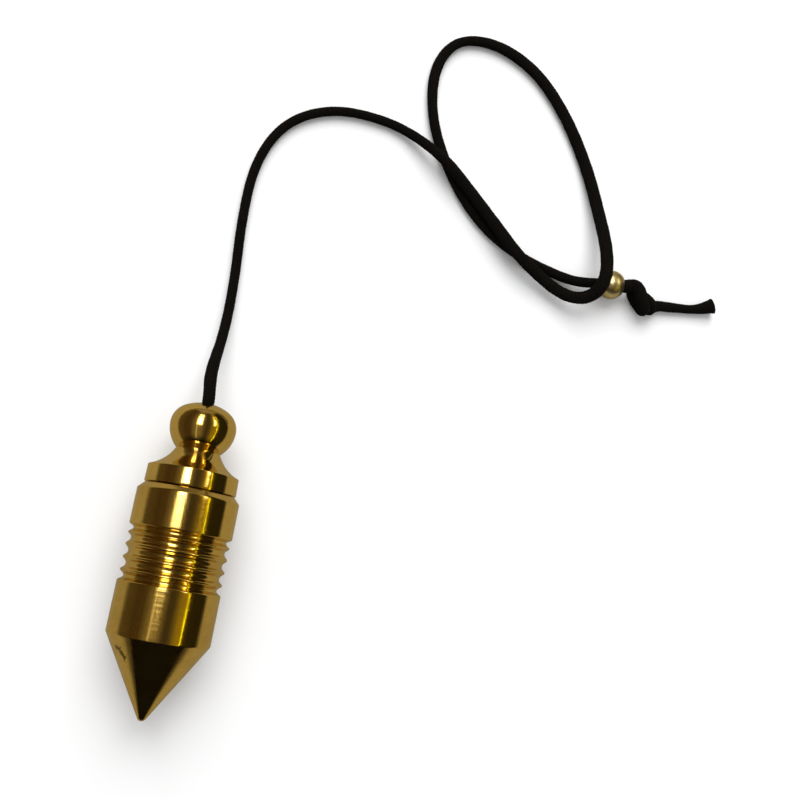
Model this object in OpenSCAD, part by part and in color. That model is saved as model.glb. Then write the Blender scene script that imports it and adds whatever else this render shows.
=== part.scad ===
// Small brass plumb bob with a screw cap, hung on a soft cord that runs through a bead and ends in a knot.
// Lengths are in millimetres. The bob lies along Y, point towards -Y, and everything rests on z = 0.

/* [Barrel] */
// diameter of the plain bands
barrel_d = 19; // [18:0.5:21]
// length from the tip to the flat top of the barrel
barrel_len = 42.1; // [41.5:0.1:43]
// angle between the cone's side and the axis
point_half_angle = 31.6; // [31:0.1:33]
// rounding radius of the very tip
tip_r = 0.9; // [0.5:0.1:1.2]
// width of the chamfer round the top
shoulder = 1.1; // [0.8:0.1:1.4]

/* [Ribs] */
// height of the middle groove above the tip
ribs_mid = 29.1; // [28.8:0.1:29.4]
// overall length of the ribbed zone
ribs_len = 10; // [9.6:0.1:10.4]
// distance from one groove to the next
groove_pitch = 2.3; // [2.2:0.05:2.4]
// radius of each groove's rounded floor
groove_r = 0.85; // [0.7:0.05:1]
// how far the rib crests sit below the plain bands
crest_drop = 0.15; // [0.05:0.01:0.2]
// chamfer where the ribbed zone meets the bands
band_chamfer = 0.3; // [0.1:0.1:0.4]

/* [Cap] */
// diameter of the flange
flange_d = 17.1; // [16.5:0.1:17.5]
// thickness of the flange
flange_h = 3.3; // [3:0.1:3.6]
// radius of the hollow curve between flange and neck
cove_r = 7.6; // [7.2:0.1:8.5]
// diameter of the neck under the ball
neck_d = 8.4; // [8:0.1:8.6]
// widest diameter of the ball
ball_d = 12.4; // [12:0.1:12.8]
// height from the ball's widest line to its top
ball_top = 4.55; // [4.4:0.05:4.7]

/* [Thread and chamber] */
// major diameter of the cap's screw
thread_d = 12; // [11.5:0.1:12.5]
// thread advance for each turn
thread_pitch = 1.25; // [1:0.25:1.5]
// number of turns that hold the cap
thread_turns = 6; // [5:0.5:6]
// diameter of the storage chamber under the thread
chamber_d = 8.5; // [8:0.5:9]
// height of the chamber's straight wall above the tip
chamber_floor = 18; // [18:0.5:22]

/* [Cord and bead] */
// cord diameter
cord_d = 2.3; // [2:0.1:2.4]
// hole for the cord through the cap
cord_hole_d = 2.7; // [2.6:0.1:2.9]
// bead diameter
bead_d = 6.1; // [5.8:0.1:6.2]
// bead length along the cord
bead_len = 4.6; // [4.4:0.1:4.8]
// hole through the bead
bead_hole_d = 2.8; // [2.7:0.1:3]
// diameter of the knot inside the cap
stopper_d = 5.5; // [5:0.1:5.8]

/* [Part] */
// which sub-part to show

/* [Hidden] */
$fn = 96;
brass = [0.72, 0.55, 0.22];
satin_gold = [0.72, 0.66, 0.5];
cord_black = [0.05, 0.05, 0.05];
overlap = 0.5;
barrel_r = barrel_d / 2;
flange_r = flange_d / 2;
neck_r = neck_d / 2;
ball_r = ball_d / 2;
total_len = 58.7;
// the cap's flange stops this far above the barrel
joint_gap = 0.15;
// the outer grooves stand closer together by this share for each step from the middle
groove_squeeze = 0.01;

// cone: where its side leaves the tip's rounding and where it meets the band
tip_edge_r = tip_r * cos(point_half_angle);
tip_edge_z = tip_r - tip_r * sin(point_half_angle);
cone_len = tip_edge_z + (barrel_r - tip_edge_r) / tan(point_half_angle);

// cap heights above the tip
cap_base = barrel_len + joint_gap;
flange_top = cap_base + flange_h;
ball_mid = total_len - ball_top;
neck_z = ball_mid - sqrt(ball_r * ball_r - neck_r * neck_r);
cove_half = norm([flange_r - neck_r, neck_z - flange_top]) / 2;
cove_dir = [neck_z - flange_top, flange_r - neck_r] / (2 * cove_half);
cove_mid = [(flange_r + neck_r) / 2, (flange_top + neck_z) / 2];
cove_centre = cove_mid + cove_dir * sqrt(cove_r * cove_r - cove_half * cove_half);

// flattened top of the ball: a shoulder arc that runs into a wider top arc
ball_side_r = 4;
ball_in = ball_r - ball_side_r;
ball_cap_r = (ball_in * ball_in + ball_top * ball_top - ball_side_r * ball_side_r)
    / (2 * (ball_top - ball_side_r));
cap_arc_dir = [ball_in, ball_cap_r - ball_top] / (ball_cap_r - ball_side_r);
wedge_len = 8;

// cap screw, its hollow and the stopper knot inside it
thread_len = thread_turns * thread_pitch;
screw_end = cap_base - thread_len;
cap_hollow_d = 7;
cap_hollow_top = cap_base + 1;
stopper_gap = 0.2;
stopper_z = cap_hollow_top - stopper_d / 2 - stopper_gap;
// flare where the cord leaves the ball
lead_in = 0.6;

// the barrel's threaded socket and the drilled chamber under it
thread_slack = 0.1;
socket_clear = 0.35;
socket_floor = screw_end - socket_clear;
drill_half_angle = 59;
chamber_r = chamber_d / 2;
chamber_tip = chamber_floor - chamber_r / tan(drill_half_angle);

// centre line of the cord: out of the cap, down to the table, round the loop, through the bead
bead_pos = [78.5, 73.4, 3.1];
bead_along = [10, 1];
bead_turn = atan2(bead_along[1], bead_along[0]);
route = [
    [0, stopper_z - total_len / 2, 9.5], [0, 29.5, 9.5], [-0.6, 33.5, 9], [-0.6, 37.5, 6.8],
    [-0.1, 43, 3.8], [0.1, 49.5, 1.9], [-0.2, 58, 1.2], [-1, 69, 1.2],
    [-0.8, 80, 1.2], [1.8, 88.5, 1.2], [6.5, 94, 1.2], [13.5, 97.3, 1.2],
    [21.5, 97.9, 1.2], [29, 96.6, 1.5], [37.4, 91.6, 3.9], [44.6, 86.1, 3.2],
    [52.5, 78.7, 3.7], [56.9, 74.6, 4], [63.7, 71, 2.6], [69, 68.7, 2.9],
    [73.2, 68.7, 5.1], [75.6, 72.4, 6.8], [75.6, 79.4, 5.5], [73.5, 89, 2.5],
    [69.4, 99.5, 1.2], [63, 109.6, 1.2], [55, 117.7, 1.2], [45.5, 121.6, 1.2],
    [36.9, 120.3, 1.2], [32.9, 113.6, 1.2], [33.2, 104.5, 1.2], [36.5, 95.5, 1.2],
    [42.5, 86.5, 1.2], [49.8, 79.6, 1.2], [58.2, 75.4, 1.2], [66.3, 73.4, 1.3],
    [71, 72.5, 2.3], [75.5, 73.1, 3.1], [78.5, 73.4, 3.1], [83.5, 73.9, 3.1]
];
tail_route = [[87.5, 71.2, 2.8], [90.5, 71.8, 1.6], [95.7, 72.5, 1.2], [98.5, 72.9, 1.2], [103.1, 74.6, 1.8]];
// radius at each point of the tail, which swells towards its cut end
tail_r = [1.2, 1.2, 1.05, 1, 1.7];

// knot lobes as [x, y, z, radius]
end_lobes = [[83.6, 73.9, 2.9, 2.1], [85.3, 72.2, 3, 2.2], [87.1, 70.7, 3, 2.5]];

// spline through the points and the rings of a swept tube
sides = 8;
steps = 2;
function last(p) = len(p) - 1;
function at(p, i) = p[max(0, min(last(p), i))];
function blend(a, b, c, d, t) =
    b + 0.5 * t * ((c - a) + t * ((2 * a - 5 * b + 4 * c - d) + t * (3 * (b - c) + d - a)));
function spline(p, n) = [
    for (i = [0 : last(p) * n])
        let (k = floor(i / n), t = (i - k * n) / n)
            blend(at(p, k - 1), at(p, k), at(p, k + 1), at(p, k + 2), t)
];
function between(v, t) = v[floor(t)] + (t - floor(t)) * (at(v, floor(t) + 1) - v[floor(t)]);
function unit(v) = v / norm(v);
function along(p, i) = unit(at(p, i + 1) - at(p, i - 1));
function side_of(v) = unit(cross(v, [0, 0, 1]));
function ring(c, v, r) = [
    for (k = [0 : sides - 1])
        let (a = 360 * (k + 0.5) / sides, s = side_of(v))
            c + r * (cos(a) * s + sin(a) * cross(s, v))
];

module tube(p, r) {
    points = [for (i = [0 : last(p)]) each ring(p[i], along(p, i), r[i])];
    walls = [
        for (i = [0 : last(p) - 1], k = [0 : sides - 1])
            let (a = i * sides + k, b = i * sides + (k + 1) % sides)
                each [[a, a + sides, b], [b, a + sides, b + sides]]
    ];
    start = [[for (k = [0 : sides - 1]) k]];
    finish = [[for (k = [sides - 1 : -1 : 0]) last(p) * sides + k]];
    polyhedron(points = points, faces = concat(walls, start, finish), convexity = 8);
}

// stands a part that was drawn along Z on its side, in the bob's place
module lay_down() {
    translate([0, -total_len / 2, barrel_r])
        rotate([-90, 0, 0])
            children();
}

// what the lathe takes off for the five grooves, as a half section
module groove_section() {
    intersection() {
        translate([0, ribs_mid - ribs_len / 2])
            square([barrel_r + 1, ribs_len]);
        union() {
            for (i = [-2 : 2])
                translate([barrel_r, ribs_mid + i * groove_pitch * (1 - groove_squeeze * abs(i))])
                    circle(r = groove_r);
            translate([barrel_r - crest_drop, ribs_mid - ribs_len / 2])
                square([1, ribs_len]);
        }
    }
    for (m = [-1, 1])
        translate([barrel_r, ribs_mid + m * ribs_len / 2])
            polygon([[-band_chamfer, 0], [0, m * band_chamfer], [1, m * band_chamfer], [1, 0]]);
}

module barrel_section() {
    difference() {
        polygon([
            [0, tip_edge_z], [tip_edge_r, tip_edge_z], [barrel_r, cone_len],
            [barrel_r, barrel_len - shoulder], [barrel_r - shoulder, barrel_len], [0, barrel_len]
        ]);
        groove_section();
    }
}

module barrel() {
    color(brass)
        lay_down()
            difference() {
                union() {
                    rotate_extrude()
                        barrel_section();
                    translate([0, 0, tip_r])
                        sphere(r = tip_r);
                }
                translate([0, 0, socket_floor])
                    cylinder(d = thread_d + 2 * thread_slack, h = barrel_len);
                translate([0, 0, chamber_floor])
                    cylinder(r = chamber_r, h = barrel_len);
                translate([0, 0, chamber_tip])
                    cylinder(r1 = 0, r2 = chamber_r, h = chamber_floor - chamber_tip);
            }
}

module ball_section() {
    intersection() {
        circle_at(0, ball_mid, ball_r);
        translate([0, neck_z])
            square([ball_r, ball_mid - neck_z]);
    }
    intersection() {
        circle_at(0, total_len - ball_cap_r, ball_cap_r);
        translate([0, ball_mid])
            square([ball_r, ball_top + 1]);
        union() {
            circle_at(ball_in, ball_mid, ball_side_r);
            polygon([
                [0, ball_mid], [ball_in, ball_mid],
                [ball_in, ball_mid] + wedge_len * cap_arc_dir, [0, ball_mid + wedge_len]
            ]);
        }
    }
}

module circle_at(x, y, r) {
    translate([x, y])
        circle(r = r);
}

module cap_section() {
    difference() {
        translate([0, cap_base])
            square([flange_r, neck_z - cap_base]);
        circle_at(cove_centre[0], cove_centre[1], cove_r);
    }
    ball_section();
    translate([0, screw_end])
        square([thread_d / 2, thread_len + overlap]);
}

module cap() {
    color(brass)
        lay_down()
            difference() {
                rotate_extrude()
                    cap_section();
                translate([0, 0, screw_end - overlap])
                    cylinder(d = cap_hollow_d, h = cap_hollow_top - screw_end + overlap);
                translate([0, 0, screw_end])
                    cylinder(d = cord_hole_d, h = total_len);
                translate([0, 0, total_len - lead_in])
                    cylinder(d1 = cord_hole_d, d2 = cord_hole_d + 4 * lead_in, h = 2 * lead_in);
            }
}

module cord_lead() {
    line = spline(route, steps);
    color(cord_black)
        tube(line, [for (q = line) cord_d / 2]);
}

module stopper_knot() {
    color(cord_black)
        lay_down()
            translate([0, 0, stopper_z])
                sphere(d = stopper_d);
}

module bead() {
    color(satin_gold)
        translate(bead_pos)
            rotate([0, 90, bead_turn])
                difference() {
                    sphere(d = bead_d);
                    cylinder(d = bead_hole_d, h = 2 * bead_d, center = true);
                    for (m = [-1, 1])
                        translate([0, 0, m * (bead_len + bead_d) / 2])
                            cube(bead_d, center = true);
                }
}

module end_knot() {
    color(cord_black)
        for (i = [0, 1])
            hull()
                for (q = [end_lobes[i], end_lobes[i + 1]])
                    translate([q[0], q[1], q[2]])
                        sphere(r = q[3], $fn = 24);
}

module cord_tail() {
    color(cord_black)
        tube(spline(tail_route, steps), [for (i = [0 : last(tail_r) * steps]) between(tail_r, i / steps)]);
}

barrel();
cap();
cord_lead();
stopper_knot();
bead();
end_knot();
cord_tail();
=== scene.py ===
import math

import bpy
import numpy as np
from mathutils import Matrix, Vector


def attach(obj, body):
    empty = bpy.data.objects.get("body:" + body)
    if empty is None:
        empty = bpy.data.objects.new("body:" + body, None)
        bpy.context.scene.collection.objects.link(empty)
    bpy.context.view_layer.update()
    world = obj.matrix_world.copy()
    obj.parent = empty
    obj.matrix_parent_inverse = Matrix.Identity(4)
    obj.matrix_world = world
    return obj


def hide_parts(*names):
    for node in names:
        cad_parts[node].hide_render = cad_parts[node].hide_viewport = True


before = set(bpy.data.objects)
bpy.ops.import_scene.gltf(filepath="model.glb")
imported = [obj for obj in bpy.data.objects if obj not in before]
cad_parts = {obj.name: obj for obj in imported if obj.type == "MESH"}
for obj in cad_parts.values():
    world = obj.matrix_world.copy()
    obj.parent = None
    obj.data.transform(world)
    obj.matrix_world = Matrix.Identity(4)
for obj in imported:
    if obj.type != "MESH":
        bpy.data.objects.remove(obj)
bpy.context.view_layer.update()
MM = 0.001

# ---------------------------------------------------------------- shape data, in millimetres
LEN = 58.7
AXIS_Z = 9.5
THREAD_PITCH = 1.25
THREAD_FADE = 0.7

ROUTE_M = [
    (0, 0.01095, 0.0095), (0, 0.0295, 0.0095), (-0.0006, 0.0335, 0.009), (-0.0006, 0.0375, 0.0068),
    (-0.0001, 0.043, 0.0038), (0.0001, 0.0495, 0.0019), (-0.0002, 0.058, 0.0012), (-0.001, 0.069, 0.0012),
    (-0.0008, 0.08, 0.0012), (0.0018, 0.0885, 0.0012), (0.0065, 0.094, 0.0012), (0.0135, 0.0973, 0.0012),
    (0.0215, 0.0979, 0.0012), (0.029, 0.0966, 0.0015), (0.0374, 0.0916, 0.0039), (0.0446, 0.0861, 0.0032),
    (0.0525, 0.0787, 0.0037), (0.0569, 0.0746, 0.004), (0.0637, 0.071, 0.0026), (0.069, 0.0687, 0.0029),
    (0.0732, 0.0687, 0.0051), (0.0756, 0.0724, 0.0068), (0.0756, 0.0794, 0.0055), (0.0735, 0.089, 0.0025),
    (0.0694, 0.0995, 0.0012), (0.063, 0.1096, 0.0012), (0.055, 0.1177, 0.0012), (0.0455, 0.1216, 0.0012),
    (0.0369, 0.1203, 0.0012), (0.0329, 0.1136, 0.0012), (0.0332, 0.1045, 0.0012), (0.0365, 0.0955, 0.0012),
    (0.0425, 0.0865, 0.0012), (0.0498, 0.0796, 0.0012), (0.0582, 0.0754, 0.0012), (0.0663, 0.0734, 0.0013),
    (0.071, 0.0725, 0.0023), (0.0755, 0.0731, 0.0031), (0.0785, 0.0734, 0.0031), (0.0835, 0.0739, 0.0031),
]
BEAD_POS = np.array([78.5, 73.4, 3.1])
BEAD_DIR = np.array([10.0, 1.0, 0.0]) / math.sqrt(101)


# ---------------------------------------------------------------- small tools
def catmull(points, n):
    p = np.asarray(points, float)
    out = []
    last = len(p) - 1
    for i in range(last * n + 1):
        k, t = divmod(i, n)
        t /= n
        a, b, c, d = (p[max(0, min(last, k + j))] for j in (-1, 0, 1, 2))
        out.append(b + 0.5 * t * ((c - a) + t * ((2 * a - 5 * b + 4 * c - d) + t * (3 * (b - c) + d - a))))
    return np.array(out)


def arc_lengths(p):
    return np.r_[0, np.cumsum(np.linalg.norm(np.diff(p[:, :3], axis=0), axis=1))]


def resample(p, step):
    s = arc_lengths(p)
    n = max(2, int(round(s[-1] / step)))
    q = np.linspace(0, s[-1], n + 1)
    return np.stack([np.interp(q, s, p[:, k]) for k in range(p.shape[1])], 1)


def smooth_line(p, rounds, keep=3):
    p = p.copy()
    for _ in range(rounds):
        q = p.copy()
        q[1:-1] = 0.25 * p[:-2] + 0.5 * p[1:-1] + 0.25 * p[2:]
        q[:keep], q[-keep:] = p[:keep], p[-keep:]
        p = q
    return p


def unit(v):
    return v / np.maximum(np.linalg.norm(v, axis=-1, keepdims=True), 1e-12)


def new_mesh(name, verts_mm, faces, material, sharp=None, smooth=True):
    me = bpy.data.meshes.new(name)
    me.from_pydata([tuple(v) for v in np.asarray(verts_mm) * MM], [], faces)
    me.update()
    if smooth:
        me.polygons.foreach_set("use_smooth", [True] * len(me.polygons))
        if sharp is not None:
            me.set_sharp_from_angle(angle=math.radians(sharp))
    me.materials.append(material)
    ob = bpy.data.objects.new(name, me)
    bpy.context.scene.collection.objects.link(ob)
    return ob


def grid_faces(rows, cols, close_rows=False, offset=0):
    faces = []
    for i in range(rows if close_rows else rows - 1):
        a, b = i * cols, ((i + 1) % rows) * cols
        for k in range(cols):
            m = (k + 1) % cols
            faces.append((offset + a + k, offset + b + k, offset + b + m, offset + a + m))
    return faces


def lathe(name, profile, material, segments=192, radius_of=None, sharp=28):
    """Closed half section of (height above the tip, radius), turned about the bob's axis."""
    prof = np.asarray(profile, float)
    ang = np.arange(segments) * 2 * math.pi / segments
    rows = []
    for s, r in prof:
        rr = np.full(segments, r) if radius_of is None else radius_of(s, r, ang)
        along = np.full(segments, s - LEN / 2)
        rows.append(np.stack([rr * np.sin(ang), along, AXIS_Z + rr * np.cos(ang)], 1))
    faces = grid_faces(len(prof), segments, close_rows=True)
    return new_mesh(name, np.concatenate(rows), faces, material, sharp)


def arc(cx, cy, r, a0, a1, n):
    """Points of an arc as (height, radius) pairs; angles in degrees from the outward direction."""
    out = []
    for t in np.linspace(math.radians(a0), math.radians(a1), n):
        out.append((cy + r * math.sin(t), cx + r * math.cos(t)))
    return out


def line_pts(p, q, step):
    n = max(1, int(math.ceil(math.dist(p, q) / step)))
    return [(p[0] + (q[0] - p[0]) * i / n, p[1] + (q[1] - p[1]) * i / n) for i in range(n)]


def joined(points, step=0.35):
    out = []
    for a, b in zip(points, points[1:]):
        out += line_pts(a, b, step)
    out.append(points[-1])
    return out


# ---------------------------------------------------------------- materials
def material(name):
    m = bpy.data.materials.new(name)
    m.use_nodes = True
    nt = m.node_tree
    bsdf = next(n for n in nt.nodes if n.type == "BSDF_PRINCIPLED")
    return m, nt, bsdf


def math_node(nt, op, a, b=None, clamp=False):
    n = nt.nodes.new("ShaderNodeMath")
    n.operation = op
    n.use_clamp = clamp
    for i, v in enumerate((a, b)):
        if isinstance(v, (int, float)):
            n.inputs[i].default_value = v
        elif v is not None:
            nt.links.new(v, n.inputs[i])
    return n.outputs[0]


def ramp(nt, fac, stops):
    n = nt.nodes.new("ShaderNodeValToRGB")
    nt.links.new(fac, n.inputs[0])
    e = n.color_ramp.elements
    while len(e) < len(stops):
        e.new(0.5)
    for el, (pos, col) in zip(e, stops):
        el.position = pos
        el.color = (*col, 1) if len(col) == 3 else (col[0], col[0], col[0], 1)
    return n.outputs[0]


def mix_color(nt, fac, a, b, blend="MIX"):
    n = nt.nodes.new("ShaderNodeMix")
    n.data_type = "RGBA"
    n.blend_type = blend
    for sock, v in ((n.inputs[0], fac), (n.inputs[6], a), (n.inputs[7], b)):
        if isinstance(v, (int, float)):
            sock.default_value = v
        elif isinstance(v, tuple):
            sock.default_value = (*v, 1)
        else:
            nt.links.new(v, sock)
    return n.outputs[2]


def turned_coords(nt):
    """Object position, then x, y along the bob and z above its axis, for the marks a lathe leaves."""
    tc = nt.nodes.new("ShaderNodeTexCoord")
    sep = nt.nodes.new("ShaderNodeSeparateXYZ")
    nt.links.new(tc.outputs["Object"], sep.inputs[0])
    x = sep.outputs[0]
    y = sep.outputs[1]
    z = math_node(nt, "SUBTRACT", sep.outputs[2], AXIS_Z * MM)
    return tc.outputs["Object"], x, y, z


def combine(nt, x, y, z):
    c = nt.nodes.new("ShaderNodeCombineXYZ")
    for i, v in enumerate((x, y, z)):
        if isinstance(v, (int, float)):
            c.inputs[i].default_value = v
        else:
            nt.links.new(v, c.inputs[i])
    return c.outputs[0]


def noise(nt, vec, scale, detail=4, rough=0.55, distort=0.0):
    n = nt.nodes.new("ShaderNodeTexNoise")
    nt.links.new(vec, n.inputs["Vector"])
    n.inputs["Scale"].default_value = scale
    n.inputs["Detail"].default_value = detail
    n.inputs["Roughness"].default_value = rough
    n.inputs["Distortion"].default_value = distort
    return n.outputs[0]


def nick_mask(nt, pos, centre, size):
    """1 inside a small ragged dent at centre, 0 outside; centre and size in millimetres."""
    ragged = noise(nt, pos, 1900.0, 3, 0.7)
    away = nt.nodes.new("ShaderNodeVectorMath")
    away.operation = "SUBTRACT"
    nt.links.new(pos, away.inputs[0])
    away.inputs[1].default_value = tuple(c * MM for c in centre)
    scaled = nt.nodes.new("ShaderNodeVectorMath")
    scaled.operation = "DIVIDE"
    nt.links.new(away.outputs[0], scaled.inputs[0])
    scaled.inputs[1].default_value = tuple(c * MM for c in size)
    dist = nt.nodes.new("ShaderNodeVectorMath")
    dist.operation = "LENGTH"
    nt.links.new(scaled.outputs[0], dist.inputs[0])
    edge = math_node(nt, "ADD", dist.outputs["Value"], math_node(nt, "MULTIPLY", ragged, 1.2))
    return ramp(nt, edge, [(0.0, (0.9,)), (0.9, (0.75,)), (1.0, (0.0,))])


def stretched(nt, coords, across, along):
    """Coordinates scaled by across in x and z and by along on the bob's axis, to stretch a noise one way."""
    x, y, z = coords
    return combine(nt, *(math_node(nt, "MULTIPLY", v, k) for v, k in ((x, across), (y, along), (z, across))))


def brass(name, base, dark, rough, wear=1.0, calm=None, nicks=()):
    """Turned, polished brass. calm is (middle, half width) of a zone with fainter tool marks."""
    m, nt, bsdf = material(name)
    pos, *coords = turned_coords(nt)
    L = nt.links.new
    # fine turning marks, which run round the bob
    marks = noise(nt, stretched(nt, coords, 60.0, 9000.0), 1.0, 3, 0.6)
    bands = noise(nt, stretched(nt, coords, 90.0, 1500.0), 1.0, 2, 0.5)
    # smudges and tarnish
    smudge = noise(nt, pos, 170.0, 5, 0.6, 0.4)
    speck = noise(nt, pos, 1400.0, 3, 0.7)
    scratch = noise(nt, stretched(nt, coords, 1400.0, 110.0), 1.0, 4, 0.7, 0.3)
    tarnish = ramp(nt, smudge, [(0.40, (0.0,)), (0.72, (1.0,))])
    fleck = ramp(nt, speck, [(0.66, (0.0,)), (0.74, (1.0,))])
    amount = math_node(nt, "MULTIPLY", tarnish, 0.35 * wear)
    mottle = ramp(nt, noise(nt, pos, 850.0, 4, 0.7, 0.6), [(0.36, (0.0,)), (0.66, (1.0,))])
    col = mix_color(nt, math_node(nt, "MULTIPLY", mottle, 0.22 * wear), base, dark)
    col = mix_color(nt, amount, col, dark)
    col = mix_color(nt, math_node(nt, "MULTIPLY", fleck, 0.45 * wear), col, tuple(0.35 * c for c in dark))
    for centre, size in nicks:
        col = mix_color(nt, nick_mask(nt, pos, centre, size), col, (0.03, 0.018, 0.006))
    L(col, bsdf.inputs["Base Color"])
    bsdf.inputs["Metallic"].default_value = 1.0
    rr = math_node(nt, "ADD", rough, math_node(nt, "MULTIPLY", tarnish, 0.07 * wear))
    rr = math_node(nt, "ADD", rr, math_node(nt, "MULTIPLY", math_node(nt, "SUBTRACT", marks, 0.5), 0.05))
    worn = ramp(nt, scratch, [(0.58, (0.0,)), (0.70, (1.0,))])
    rr = math_node(nt, "ADD", rr, math_node(nt, "MULTIPLY", worn, 0.06 * wear), clamp=True)
    L(rr, bsdf.inputs["Roughness"])
    if calm:
        away = math_node(nt, "ABSOLUTE", math_node(nt, "SUBTRACT", coords[1], calm[0] * MM))
        loud = math_node(nt, "MULTIPLY", math_node(nt, "SUBTRACT", away, calm[1] * MM), 3000.0, clamp=True)
    b1 = nt.nodes.new("ShaderNodeBump")
    b1.inputs["Strength"].default_value = 0.05
    b1.inputs["Distance"].default_value = 0.00005
    L(marks, b1.inputs["Height"])
    b2 = nt.nodes.new("ShaderNodeBump")
    b2.inputs["Strength"].default_value = 0.12 * wear
    b3 = nt.nodes.new("ShaderNodeBump")
    b3.inputs["Strength"].default_value = 0.035
    if calm:
        L(math_node(nt, "MULTIPLY", loud, 0.12 * wear), b2.inputs["Strength"])
        L(math_node(nt, "MULTIPLY", loud, 0.035), b3.inputs["Strength"])
    b2.inputs["Distance"].default_value = 0.0001
    L(scratch, b2.inputs["Height"])
    L(b1.outputs[0], b2.inputs["Normal"])
    b3.inputs["Distance"].default_value = 0.0003
    L(bands, b3.inputs["Height"])
    L(b2.outputs[0], b3.inputs["Normal"])
    L(b3.outputs[0], bsdf.inputs["Normal"])
    return m


barrel_mat = brass("barrel_brass", (0.80, 0.58, 0.20), (0.42, 0.27, 0.075), 0.085, calm=(-0.25, 5.0),
                   nicks=[((-5.8, -17.6, 14.6), (1.7, 2.5, 1.7)), ((-6.6, -17.0, 14.1), (2.6, 1.2, 2.4)),
                          ((-5.1, -18.5, 14.6), (1.3, 2.2, 1.3))])
cap_mat = brass("cap_brass", (0.82, 0.60, 0.21), (0.45, 0.29, 0.085), 0.065, 0.7)


def cord_material():
    m, nt, bsdf = material("cord")
    L = nt.links.new
    tc = nt.nodes.new("ShaderNodeTexCoord")
    pos = tc.outputs["Object"]
    fuzz = noise(nt, pos, 5200.0, 4, 0.75)
    patch = noise(nt, pos, 260.0, 3, 0.6)
    fibre = ramp(nt, fuzz, [(0.42, (0.0,)), (0.80, (1.0,))])
    base = mix_color(nt, fibre, (0.0022, 0.0018, 0.0015), (0.012, 0.0095, 0.0075))
    base = mix_color(nt, math_node(nt, "MULTIPLY", patch, 0.4), base, (0.0025, 0.002, 0.002))
    L(base, bsdf.inputs["Base Color"])
    rough = math_node(nt, "ADD", 0.72, math_node(nt, "MULTIPLY", fuzz, 0.25), clamp=True)
    L(rough, bsdf.inputs["Roughness"])
    bsdf.inputs["Specular IOR Level"].default_value = 0.05
    bsdf.inputs["Sheen Weight"].default_value = 0.01
    bsdf.inputs["Sheen Roughness"].default_value = 0.5
    b = nt.nodes.new("ShaderNodeBump")
    b.inputs["Strength"].default_value = 0.5
    b.inputs["Distance"].default_value = 0.00008
    L(fuzz, b.inputs["Height"])
    L(b.outputs[0], bsdf.inputs["Normal"])
    return m


cord_mat = cord_material()


def bead_material():
    m, nt, bsdf = material("bead_metal")
    L = nt.links.new
    tc = nt.nodes.new("ShaderNodeTexCoord")
    pos = tc.outputs["Object"]
    cloud = noise(nt, pos, 420.0, 4, 0.6)
    pit = noise(nt, pos, 2600.0, 2, 0.6)
    dull = ramp(nt, cloud, [(0.35, (0.0,)), (0.7, (1.0,))])
    L(mix_color(nt, dull, (0.80, 0.70, 0.50), (0.66, 0.56, 0.37)), bsdf.inputs["Base Color"])
    bsdf.inputs["Metallic"].default_value = 1.0
    L(math_node(nt, "ADD", 0.27, math_node(nt, "MULTIPLY", cloud, 0.18)), bsdf.inputs["Roughness"])
    b = nt.nodes.new("ShaderNodeBump")
    b.inputs["Strength"].default_value = 0.12
    b.inputs["Distance"].default_value = 0.00006
    L(pit, b.inputs["Height"])
    L(b.outputs[0], bsdf.inputs["Normal"])
    return m


bead_mat = bead_material()

# ---------------------------------------------------------------- camera
cam_data = bpy.data.cameras.new("camera")
cam = bpy.data.objects.new("camera", cam_data)
bpy.context.scene.collection.objects.link(cam)
cam.location = (0.00027, -0.00007, 0.20943)
cam.rotation_euler = (math.radians(8.604), math.radians(-11.874), math.radians(10.167))
cam_data.lens = 47.226
cam_data.sensor_width = 36
cam_data.clip_start = 0.01
bpy.context.scene.camera = cam

# ---------------------------------------------------------------- cord
# half widths seen along the cord, as (distance from the stopper knot, half width, half height)
WIDTHS = [
    (0, 1.12, 1.12), (18, 1.14, 1.12), (24, 1.21, 1.12), (28, 1.13, 1.12), (32, 1.03, 1.1),
    (45, 0.98, 1.08), (80, 0.99, 1.08), (92, 1.0, 1.08), (100, 0.96, 1.08), (108, 0.97, 1.08),
    (116, 1.07, 1.1), (122, 1.18, 1.12), (140, 1.28, 1.12), (160, 1.34, 1.15), (172, 1.43, 1.15),
    (180, 1.46, 1.15), (200, 1.41, 1.12), (220, 1.3, 1.1), (228, 1.25, 1.1), (236, 1.1, 1.08),
    (240, 1.04, 1.08), (248, 1.15, 1.08), (252, 1.18, 1.08), (258, 1.1, 1.08), (270, 1.12, 1.05),
    (280, 1.2, 1.08), (290, 1.15, 1.05), (300, 1.1, 1.05), (311, 1.1, 1.1), (330, 1.13, 1.13),
]


def strand_tube(name, centre, width_of, mat, sides=26, plaits=8, lay=3.4, relief=0.045):
    """A soft round cord: a tube whose surface carries two sets of plaited strands."""
    s = arc_lengths(centre)
    tangent = unit(np.gradient(centre, axis=0))
    up = np.array([0.0, 0.0, 1.0])
    side = unit(np.cross(tangent, up))
    rise = unit(np.cross(side, tangent))
    a = np.arange(sides) * 2 * math.pi / sides
    verts = []
    for i, c in enumerate(centre):
        w, h = width_of(s[i])
        turn = 2 * math.pi * s[i] / lay
        wave = np.cos(plaits / 2 * (a + turn * 0.5)) * np.cos(plaits / 2 * (a - turn * 0.5))
        k = 1 + relief * (wave - 0.3)
        k = k + 0.012 * math.sin(s[i] * 1.7) + 0.008 * math.sin(s[i] * 4.3 + 1)
        verts.append(c + np.outer(k * w * np.cos(a), side[i]) + np.outer(k * h * np.sin(a), rise[i]))
    faces = grid_faces(len(centre), sides)
    n = len(centre) * sides
    verts = np.concatenate(verts)
    verts = np.vstack([verts, centre[0], centre[-1]])
    for k in range(sides):
        m = (k + 1) % sides
        faces.append((n, k, m))
        faces.append((n + 1, n - sides + m, n - sides + k))
    return new_mesh(name, verts, faces, mat)


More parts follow.
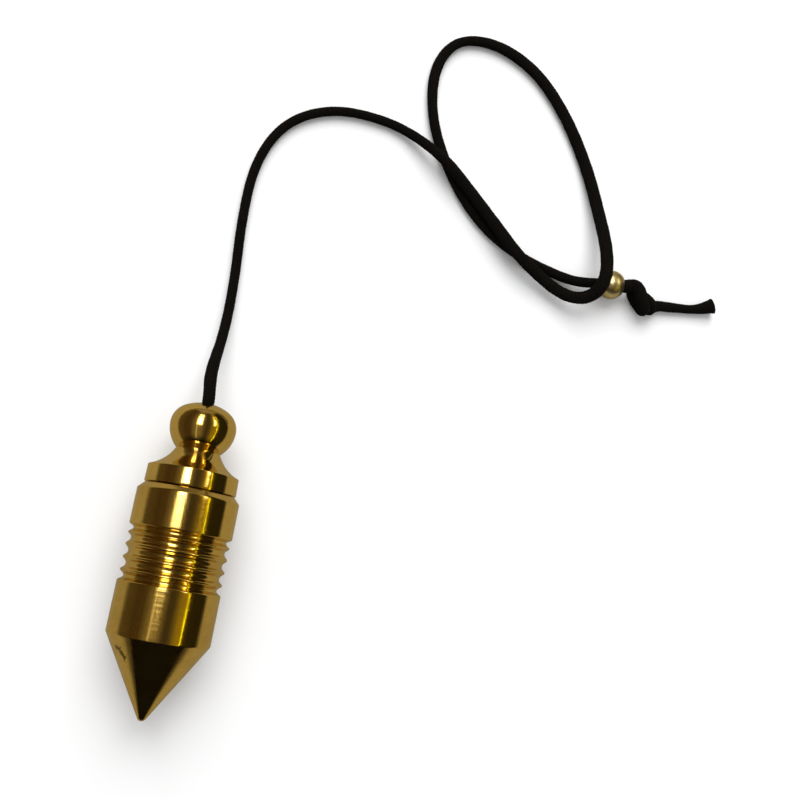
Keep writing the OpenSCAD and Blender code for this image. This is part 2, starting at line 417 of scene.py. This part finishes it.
def cord_width(s):
    w = np.array(WIDTHS)
    return np.interp(s, w[:, 0], w[:, 1]), np.interp(s, w[:, 0], w[:, 2])


route = np.array(ROUTE_M) * 1000
line = resample(catmull(route, 24), 0.4)
line = smooth_line(line, 40, keep=12)
line = resample(line, 0.4)
cord = strand_tube("cord", line, cord_width, cord_mat)
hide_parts("cord_lead")
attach(cord, "line")

# stopper knot inside the cap: cord wound round on itself
t = np.linspace(0, 1, 90)
coil = np.stack([
    1.45 * np.cos(2 * math.pi * 2 * t + 0.6),
    10.9 + 1.5 * (t - 0.5) + 0.7 * np.sin(2 * math.pi * t * 3),
    AXIS_Z + 1.45 * np.sin(2 * math.pi * 2 * t + 0.6),
], 1)
inner_knot = strand_tube("inner_knot", coil, lambda s: (1.08, 1.08), cord_mat, sides=16)
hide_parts("stopper_knot")
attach(inner_knot, "line")

# end knot: an overhand knot drawn tight, and the tail beyond it, as (x, y, z, half width)
KNOT = [
    (81.0, 73.65, 3.1, 1.4), (82.5, 73.9, 3.4, 1.5), (83.6, 74.3, 3.8, 1.45), (84.6, 73.4, 4.2, 1.35),
    (85.4, 71.6, 4.2, 1.4), (86.5, 69.8, 3.2, 1.45), (86.7, 69.9, 1.9, 1.35), (85.6, 71.3, 1.45, 1.4),
    (84.6, 72.5, 1.5, 1.4), (83.7, 73.6, 2.0, 1.35), (84.3, 73.7, 2.6, 1.3), (85.5, 72.7, 2.9, 1.35),
    (87.0, 71.9, 3.2, 1.35), (88.3, 71.0, 2.8, 1.35), (88.4, 70.2, 1.7, 1.3), (89.0, 71.0, 1.4, 1.25),
    (90.5, 71.8, 1.3, 1.2), (93.1, 72.15, 1.2, 1.12), (95.7, 72.5, 1.15, 1.03), (98.0, 72.8, 1.15, 0.98),
    (100.3, 73.4, 1.3, 1.15), (102.0, 74.1, 1.55, 1.45), (103.1, 74.6, 1.75, 1.72),
]
knot_line = smooth_line(resample(catmull(KNOT, 20), 0.35), 4, keep=4)
knot_arc = arc_lengths(knot_line)


def knot_width(s):
    w = np.interp(s, knot_arc, knot_line[:, 3])
    return w, min(w, 1.5)


knot = strand_tube("end_knot_and_tail", knot_line[:, :3], knot_width, cord_mat, sides=24)
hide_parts("end_knot", "cord_tail")
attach(knot, "line")

# ---------------------------------------------------------------- bead
e1 = np.cross(BEAD_DIR, [0, 0, 1.0])
e2 = np.cross(e1, BEAD_DIR)
BEAD_HALF = 2.3
BEAD_R = 3.05
BEAD_BORE_R = 1.4
BEAD_SEGMENTS = 96
belly = [(u, math.sqrt(BEAD_R ** 2 - u * u)) for u in np.linspace(-BEAD_HALF + 0.1, BEAD_HALF - 0.1, 40)]
# one end of the bead, from its belly over a small flat into the bore, as (distance in from the end, radius)
bead_end = [(0.02, 1.98), (0, 1.88), (0, 1.6), (0.08, 1.44)]
bead_prof = [(u - BEAD_HALF, r) for u, r in bead_end[:1]] + belly + [(BEAD_HALF - u, r) for u, r in bead_end]
bead_prof += [(u, BEAD_BORE_R) for u in np.linspace(BEAD_HALF - 0.3, -BEAD_HALF + 0.3, 8)]
bead_prof += [(u - BEAD_HALF, r) for u, r in bead_end[:0:-1]]
ang = np.arange(BEAD_SEGMENTS) * 2 * math.pi / BEAD_SEGMENTS
ring_xy = np.outer(np.cos(ang), e1) + np.outer(np.sin(ang), e2)
bead_verts = np.concatenate([BEAD_POS + u * BEAD_DIR + r * ring_xy for u, r in bead_prof])
bead_faces = grid_faces(len(bead_prof), BEAD_SEGMENTS, close_rows=True)
bead = new_mesh("bead_turned", bead_verts, bead_faces, bead_mat, 40)
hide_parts("bead")
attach(bead, "bead")

# ---------------------------------------------------------------- barrel
HALF_ANGLE = math.radians(31.6)
TIP_R = 0.9
CONE_TOP = 14.64
BAND_R = 9.5
ON_AXIS = 0.004
tip = [(TIP_R - TIP_R * math.sin(t), max(ON_AXIS, TIP_R * math.cos(t)))
       for t in np.linspace(math.pi / 2, HALF_ANGLE, 14)]
# ribbed zone, as (height, radius): groove floors and the crests and band edges between them
FLOORS = [(24.67, 8.55), (26.94, 8.58), (29.26, 8.62), (31.68, 8.63), (33.62, 8.58)]
CRESTS = [(24.1, 9.25), (25.81, 9.36), (28.14, 9.36), (30.5, 9.36), (32.66, 9.36), (34.1, 9.25)]
CREST_ROUND = 0.05


def scallop(s):
    """Radius of the grooves: hollow arcs, sharp at the bands and rounded over each crest between."""
    for k, (floor_s, floor_r) in enumerate(FLOORS):
        for j in (k, k + 1):
            edge_s, edge_r = CRESTS[j]
            x = (s - floor_s) / (edge_s - floor_s)
            if 0 <= x <= 1:
                at_band = j in (0, len(FLOORS))
                rise = 1 - math.cos(math.pi / 2 * x) if at_band else 0.5 - 0.5 * math.cos(math.pi * x ** 1.4)
                return floor_r + (edge_r - floor_r) * rise
    return CRESTS[0][1]


def rib_radius(s):
    """Outer radius in the ribbed zone, a little smoothed along the bob."""
    near = [s + CREST_ROUND * t for t in (-1.5, -1, -0.5, 0, 0.5, 1, 1.5)]
    return sum(scallop(t) for t in near) / len(near)


def thread_radius(root, crest):
    """A helical ridge, as a function of height and angle."""
    def f(s, a):
        w = (s / THREAD_PITCH - a / (2 * math.pi)) % 1.0
        tri = np.abs(w - 0.5) * 2
        k = np.clip((tri - 0.12) / 0.76, 0, 1)
        return crest + (root - crest) * k
    return f


outer = tip + joined([(tip[-1][0] + 0.05, tip[-1][1] + 0.03), (CONE_TOP - 0.22, BAND_R - 0.135)], 0.5)
outer += [(CONE_TOP - 0.08, 9.452), (CONE_TOP + 0.04, 9.487), (CONE_TOP + 0.2, BAND_R)]
# lower band, ribs, upper band, then the shoulder and the mouth of the socket
outer += joined([(CONE_TOP + 0.5, BAND_R), (23.72, BAND_R)], 0.6)
outer += [(23.8, 9.498), (23.9, 9.47), (24.0, 9.40), (24.07, 9.30), (24.1, 9.2)]
outer += [(s, rib_radius(s)) for s in np.arange(24.2, 34.02, 0.05)]
outer += [(34.1, 9.2), (34.13, 9.30), (34.2, 9.40), (34.3, 9.47), (34.4, 9.498)]
outer += joined([(34.5, BAND_R), (40.75, BAND_R)], 0.6)
outer += [(40.86, 9.495), (40.95, 9.47), (41.04, 9.42)] + joined([(41.15, 9.325), (41.95, 8.53)], 0.2)
outer += [(42.03, 8.46), (42.08, 8.39), (42.1, 8.3), (42.1, 7.2), (42.1, 6.45), (42.02, 6.3), (41.85, 6.2)]
# threaded socket: these rows get their real radius from barrel_radius
SOCKET_ROOT = 6.1
SOCKET_ROW = 6.05
socket_rows = [(s, SOCKET_ROW) for s in np.arange(41.7, 34.8, -0.0625)]
# socket floor, then the chamber down to its drilled end
CHAMBER_R = 4.25
bore = [(34.6, SOCKET_ROOT), (34.45, SOCKET_ROOT), (34.4, 6.02)]
bore += [(34.4, 4.5), (34.35, 4.3), (34.2, CHAMBER_R)]
bore += joined([(34.0, CHAMBER_R), (18.0, CHAMBER_R)], 1.2)
bore += joined([(17.9, 4.18), (15.5, 0.06)], 0.6) + [(15.45, ON_AXIS)]
in_thread = thread_radius(SOCKET_ROOT, 5.52)


def barrel_radius(s, r, a):
    if r == SOCKET_ROW:
        fade = min(1.0, (41.75 - s) / THREAD_FADE, (s - 34.7) / THREAD_FADE)
        return SOCKET_ROOT + (in_thread(s, a) - SOCKET_ROOT) * max(0.0, fade)
    return np.full(len(a), r)


barrel = lathe("barrel_turned", outer + socket_rows + bore, barrel_mat, 224, barrel_radius)
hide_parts("barrel")
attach(barrel, "barrel")

# ---------------------------------------------------------------- cap
BALL_MID = 54.15
BALL_R = 6.2
BALL_SIDE_R = 4.0
BALL_TOP = 4.55
NECK_R = 4.18
COVE_CENTRE = (11.05, 52.76)
COVE_R = 7.64
HOLE_R = 1.62
CORD_BORE_R = 1.35
HOLLOW_R = 3.5
SCREW_END = 34.75
SCREW_ROOT = 5.38
SCREW_ROW = 5.95
# the ball's flattened top: an arc on each side that runs into a wider one on top
ball_in = BALL_R - BALL_SIDE_R
top_r = (ball_in ** 2 + BALL_TOP ** 2 - BALL_SIDE_R ** 2) / (2 * (BALL_TOP - BALL_SIDE_R))
turn_a = math.degrees(math.atan2(top_r - BALL_TOP, ball_in))
neck_s = BALL_MID - math.sqrt(BALL_R ** 2 - NECK_R ** 2)
low_ball = []
for s_ in np.linspace(neck_s + 0.05, BALL_MID, 30):
    low_ball.append((s_, math.sqrt(BALL_R ** 2 - (s_ - BALL_MID) ** 2)))
# flange, then the cove, the neck and the ball
cap_profile = [(42.25, 6.3), (42.25, 8.36), (42.28, 8.46), (42.36, 8.53), (42.45, 8.55)]
cap_profile += joined([(42.7, 8.55), (45.35, 8.5)], 0.6) + [(45.47, 8.49), (45.55, 8.45), (45.61, 8.38)]
for s_ in np.linspace(45.66, neck_s - 0.06, 34):
    depth = math.sqrt(max(0.0, COVE_R ** 2 - (s_ - COVE_CENTRE[1]) ** 2))
    cap_profile.append((s_, COVE_CENTRE[0] - depth))
cap_profile += [(neck_s - 0.02, 4.17), (neck_s + 0.02, 4.17)]
cap_profile += low_ball + arc(ball_in, BALL_MID, BALL_SIDE_R, 2, turn_a, 16)
top_end = math.degrees(math.acos(HOLE_R / top_r))
cap_profile += arc(0, LEN - top_r, top_r, turn_a + 1.5, top_end, 10)
# down the cord's bore, into the hollow that holds the knot and back up the outside of the screw
cap_profile += [(58.42, 1.5), (58.3, 1.42), (58.1, 1.37), (57.8, CORD_BORE_R)]
cap_profile += joined([(57.4, CORD_BORE_R), (43.4, CORD_BORE_R)], 2.0)
cap_profile += [(43.28, 1.42), (43.25, 1.55), (43.25, 3.3), (43.2, 3.45), (43.05, HOLLOW_R)]
cap_profile += joined([(42.8, HOLLOW_R), (35.0, HOLLOW_R)], 1.2)
cap_profile += [(34.8, 3.55), (SCREW_END, 3.7), (SCREW_END, 5.1), (34.8, 5.25)]
cap_profile += [(s, SCREW_ROW) for s in np.arange(34.9, 41.75, 0.0625)]
cap_profile += [(41.8, 5.3), (41.9, 5.3), (42.1, 5.35), (42.2, 5.5)]
out_thread = thread_radius(5.98, SCREW_ROOT)


def cap_radius(s, r, a):
    if r == SCREW_ROW:
        fade = min(1.0, (s - 34.8) / THREAD_FADE, (41.8 - s) / THREAD_FADE)
        return SCREW_ROOT + (out_thread(s, a) - SCREW_ROOT) * max(0.0, fade)
    return np.full(len(a), r)


cap = lathe("cap_turned", cap_profile, cap_mat, 224, cap_radius)
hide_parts("cap")
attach(cap, "cap")

# ---------------------------------------------------------------- floor, world and lamps
floor_mat, nt, bsdf = material("floor")
lp = nt.nodes.new("ShaderNodeLightPath")
floor_pos = nt.nodes.new("ShaderNodeTexCoord")
floor_dist = nt.nodes.new("ShaderNodeVectorMath")
floor_dist.operation = "LENGTH"
nt.links.new(floor_pos.outputs["Object"], floor_dist.inputs[0])


def beyond(distance, reach):
    """0 up to a distance from the origin in metres, rising to 1 over reach."""
    past = math_node(nt, "SUBTRACT", floor_dist.outputs["Value"], distance)
    return math_node(nt, "MULTIPLY", past, 1 / reach, clamp=True)


# painted reflection: to glossy rays the floor is tan near the bob and fades to dark brown further out, as if
# less lit; other bounced light sees it grey, the camera sees it pale
far_floor = beyond(0.10, 0.10)
painted_reflection_colour = mix_color(nt, far_floor, (0.335, 0.28, 0.15), (0.10, 0.083, 0.045))
seen_in_brass = mix_color(nt, lp.outputs["Is Glossy Ray"], (0.40, 0.395, 0.385), painted_reflection_colour)
floor_colour = mix_color(nt, lp.outputs["Is Camera Ray"], seen_in_brass, (0.93, 0.93, 0.93))
nt.links.new(floor_colour, bsdf.inputs["Base Color"])
bsdf.inputs["Roughness"].default_value = 0.9
bsdf.inputs["Specular IOR Level"].default_value = 0.0
# past the lamp's reach the floor makes up its own light, so it stays pale to the horizon
bsdf.inputs["Emission Color"].default_value = (1, 1, 1, 1)
glow = math_node(nt, "MULTIPLY", beyond(0.30, 1.2), lp.outputs["Is Camera Ray"])
glow = math_node(nt, "MULTIPLY", glow, 0.42)
nt.links.new(glow, bsdf.inputs["Emission Strength"])
bpy.ops.mesh.primitive_plane_add(size=30, location=(0.03, 0.03, 0))
floor = bpy.context.object
floor.name = "floor"
floor.data.materials.append(floor_mat)

world = bpy.data.worlds.new("world")
bpy.context.scene.world = world
world.use_nodes = True
wt = world.node_tree
background = next(n for n in wt.nodes if n.type == "BACKGROUND")
tc = wt.nodes.new("ShaderNodeTexCoord")
sep = wt.nodes.new("ShaderNodeSeparateXYZ")
wt.links.new(tc.outputs["Generated"], sep.inputs[0])
dx, dy, dz = sep.outputs
side_angle = math_node(wt, "MULTIPLY", math_node(wt, "ARCTAN2", dx, dz), 180 / math.pi)


def window(value, lo, hi, soft):
    up = math_node(wt, "DIVIDE", math_node(wt, "SUBTRACT", value, lo), soft, clamp=True)
    down = math_node(wt, "DIVIDE", math_node(wt, "SUBTRACT", hi, value), soft, clamp=True)
    return math_node(wt, "MULTIPLY", up, down)


def add_light(total, strength, colour, across, along):
    """Adds a soft panel. across is (from, to, edge) in degrees from overhead towards +X, along is in dy."""
    mask = math_node(wt, "MULTIPLY", window(side_angle, *across), window(dy, *along))
    v = wt.nodes.new("ShaderNodeVectorMath")
    v.operation = "SCALE"
    v.inputs[0].default_value = tuple(c * strength * w for c, w in zip(colour, WARM))
    wt.links.new(mask, v.inputs["Scale"])
    a = wt.nodes.new("ShaderNodeVectorMath")
    a.operation = "ADD"
    wt.links.new(total, a.inputs[0])
    wt.links.new(v.outputs[0], a.inputs[1])
    return a.outputs[0]


# the room as the brass sees it: (degrees from overhead towards +X, colour)
WARM = (0.70, 0.647, 0.50)
ROOM = [
    (-110, (0.14, 0.105, 0.05)), (-80, (0.13, 0.095, 0.045)), (-60, (0.075, 0.053, 0.024)),
    (-57, (0.13, 0.08, 0.04)), (-54, (0.06, 0.042, 0.018)), (-50, (0.145, 0.09, 0.048)),
    (-47, (0.06, 0.045, 0.02)), (-43, (0.15, 0.11, 0.052)), (-39, (0.16, 0.13, 0.06)),
    (-33, (0.26, 0.22, 0.125)), (-28, (0.30, 0.255, 0.155)), (-20, (0.34, 0.30, 0.185)),
    (-9, (0.31, 0.26, 0.16)), (0, (0.20, 0.165, 0.10)), (8, (0.075, 0.06, 0.035)),
    (18, (0.09, 0.07, 0.045)), (24, (0.16, 0.13, 0.04)), (29, (0.30, 0.24, 0.05)),
    (37, (0.46, 0.34, 0.03)), (44, (0.42, 0.36, 0.02)), (52, (0.11, 0.085, 0.015)),
    (60, (0.035, 0.028, 0.008)), (100, (0.03, 0.025, 0.008)),
]
room_stops = [((a + 180) / 360, tuple(k * w for k, w in zip(c, WARM))) for a, c in ROOM]
room = ramp(wt, math_node(wt, "DIVIDE", math_node(wt, "ADD", side_angle, 180.0), 360.0), room_stops)
# nearly black past the point of the bob, a pale wall past its ball
near_black = math_node(wt, "MULTIPLY", math_node(wt, "ADD", dy, 0.82), 1 / 0.24, clamp=True)
room = mix_color(wt, near_black, (0.006, 0.0045, 0.002), room)
far_wall = math_node(wt, "MULTIPLY", math_node(wt, "SUBTRACT", dy, 0.90), 1 / 0.06, clamp=True)
room = mix_color(wt, far_wall, room, (0.30, 0.25, 0.15))
# a wide white window with a brighter middle, a thin yellow edge, two pale strips and a faint line
room = add_light(room, 4.2, (1.0, 1.0, 0.92), (-26, -3, 3.5), (-0.02, 0.80, 0.03))
room = add_light(room, 8.0, (1.0, 1.0, 1.0), (-22, -6, 3.0), (0.05, 0.62, 0.04))
room = add_light(room, 4.0, (1.0, 1.0, 0.015), (46.8, 48.9, 0.5), (-0.75, 0.80, 0.06))
room = add_light(room, 1.6, (1.0, 0.92, 0.45), (31, 42, 3.0), (0.06, 0.80, 0.04))
room = add_light(room, 7.0, (1.0, 1.0, 0.95), (36.5, 42.5, 1.5), (0.10, 0.60, 0.05))
room = add_light(room, 1.2, (1.0, 0.95, 0.7), (-24, -21, 1.0), (-0.75, 0.10, 0.05))
lpw = wt.nodes.new("ShaderNodeLightPath")
plain = mix_color(wt, lpw.outputs["Is Camera Ray"], (0.62, 0.62, 0.62), (1.0, 1.0, 1.0))
final = mix_color(wt, lpw.outputs["Is Glossy Ray"], plain, room)
wt.links.new(final, background.inputs["Color"])
background.inputs["Strength"].default_value = 1.0


def area(name, loc, target, size, power):
    """A rectangular lamp aimed at a point, seen by neither the camera nor the brass."""
    d = bpy.data.lights.new(name, "AREA")
    d.shape = "RECTANGLE"
    d.size, d.size_y = size
    d.energy = power
    o = bpy.data.objects.new(name, d)
    bpy.context.scene.collection.objects.link(o)
    o.location = loc
    o.rotation_euler = (Vector(target) - Vector(loc)).to_track_quat("-Z", "Y").to_euler()
    o.visible_glossy = False
    o.visible_camera = False


area("key", (-0.06, 0.70, 0.72), (0.03, 0.03, 0), (0.9, 0.9), 9.6)

bpy.context.scene.view_settings.view_transform = "Standard"
bpy.context.scene.view_settings.look = "None"
